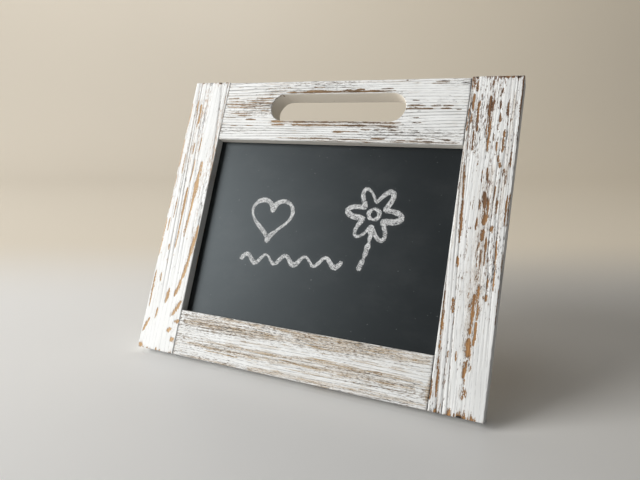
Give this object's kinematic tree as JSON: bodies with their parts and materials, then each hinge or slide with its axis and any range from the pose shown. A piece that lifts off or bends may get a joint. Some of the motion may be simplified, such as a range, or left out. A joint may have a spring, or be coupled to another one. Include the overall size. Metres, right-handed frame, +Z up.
{
  "type": "tabletop chalkboard",
  "caption": "Tabletop writing board: distressed white wooden frame with a hand slot round a dark chalk panel, leaning back on a hinged easel leg.",
  "frame": {"origin": "on the table, under the middle of the object's bounding box, leg open", "axes": "+Z up, +X across the board to a reader's right, the board faces -Y and leans back towards +Y"},
  "size_m": [0.28, 0.1388, 0.2217],
  "materials": {
    "painted_pine": "white paint worn back to brushed softwood",
    "chalk_paint": "satin black chalkboard paint on hardboard",
    "plywood": "bare sanded birch face",
    "beech": "bare",
    "hinge_brass": "dull plated",
    "zinc_steel": "bright zinc plated"
  },
  "bodies": {
    "frame": {"left_stile": "painted_pine", "right_stile": "painted_pine", "top_rail": "painted_pine", "bottom_rail": "painted_pine", "top_left_dowels": "beech", "top_right_dowels": "beech", "bottom_left_dowels": "beech", "bottom_right_dowels": "beech", "writing_panel": "chalk_paint", "backing_board": "plywood", "hinge_board_leaf": "hinge_brass", "hinge_pin": "hinge_brass", "hinge_board_screws": "hinge_brass", "button_screws": "zinc_steel"},
    "leg": {"easel_leg": "painted_pine", "hinge_leg_leaf": "hinge_brass", "hinge_leg_screws": "hinge_brass"},
    "top_left_button": {"top_left_button": "zinc_steel"},
    "top_right_button": {"top_right_button": "zinc_steel"},
    "bottom_left_button": {"bottom_left_button": "zinc_steel"},
    "bottom_right_button": {"bottom_right_button": "zinc_steel"},
    "left_button": {"left_button": "zinc_steel"},
    "right_button": {"right_button": "zinc_steel"}
  },
  "joints": [
    {"name": "leg_fold", "type": "hinge", "parent": "frame", "child": "leg", "pos_m": [0, 0.01086, 0.13419], "axis": [1, 0, 0], "range_deg": [-43, 0]},
    {"name": "top_left_button_turn", "type": "hinge", "parent": "frame", "child": "top_left_button", "pos_m": [-0.064, 0.02943, 0.17684], "axis": [0, 0.9063, -0.4226], "continuous": true},
    {"name": "top_right_button_turn", "type": "hinge", "parent": "frame", "child": "top_right_button", "pos_m": [0.064, 0.02943, 0.17684], "axis": [0, 0.9063, -0.4226], "continuous": true},
    {"name": "bottom_left_button_turn", "type": "hinge", "parent": "frame", "child": "bottom_left_button", "pos_m": [-0.064, -0.04326, 0.02095], "axis": [0, 0.9063, -0.4226], "continuous": true},
    {"name": "bottom_right_button_turn", "type": "hinge", "parent": "frame", "child": "bottom_right_button", "pos_m": [0.064, -0.04326, 0.02095], "axis": [0, 0.9063, -0.4226], "continuous": true},
    {"name": "left_button_turn", "type": "hinge", "parent": "frame", "child": "left_button", "pos_m": [-0.1155, -0.00692, 0.09889], "axis": [0, 0.9063, -0.4226], "continuous": true},
    {"name": "right_button_turn", "type": "hinge", "parent": "frame", "child": "right_button", "pos_m": [0.1155, -0.00692, 0.09889], "axis": [0, 0.9063, -0.4226], "continuous": true}
  ]
}
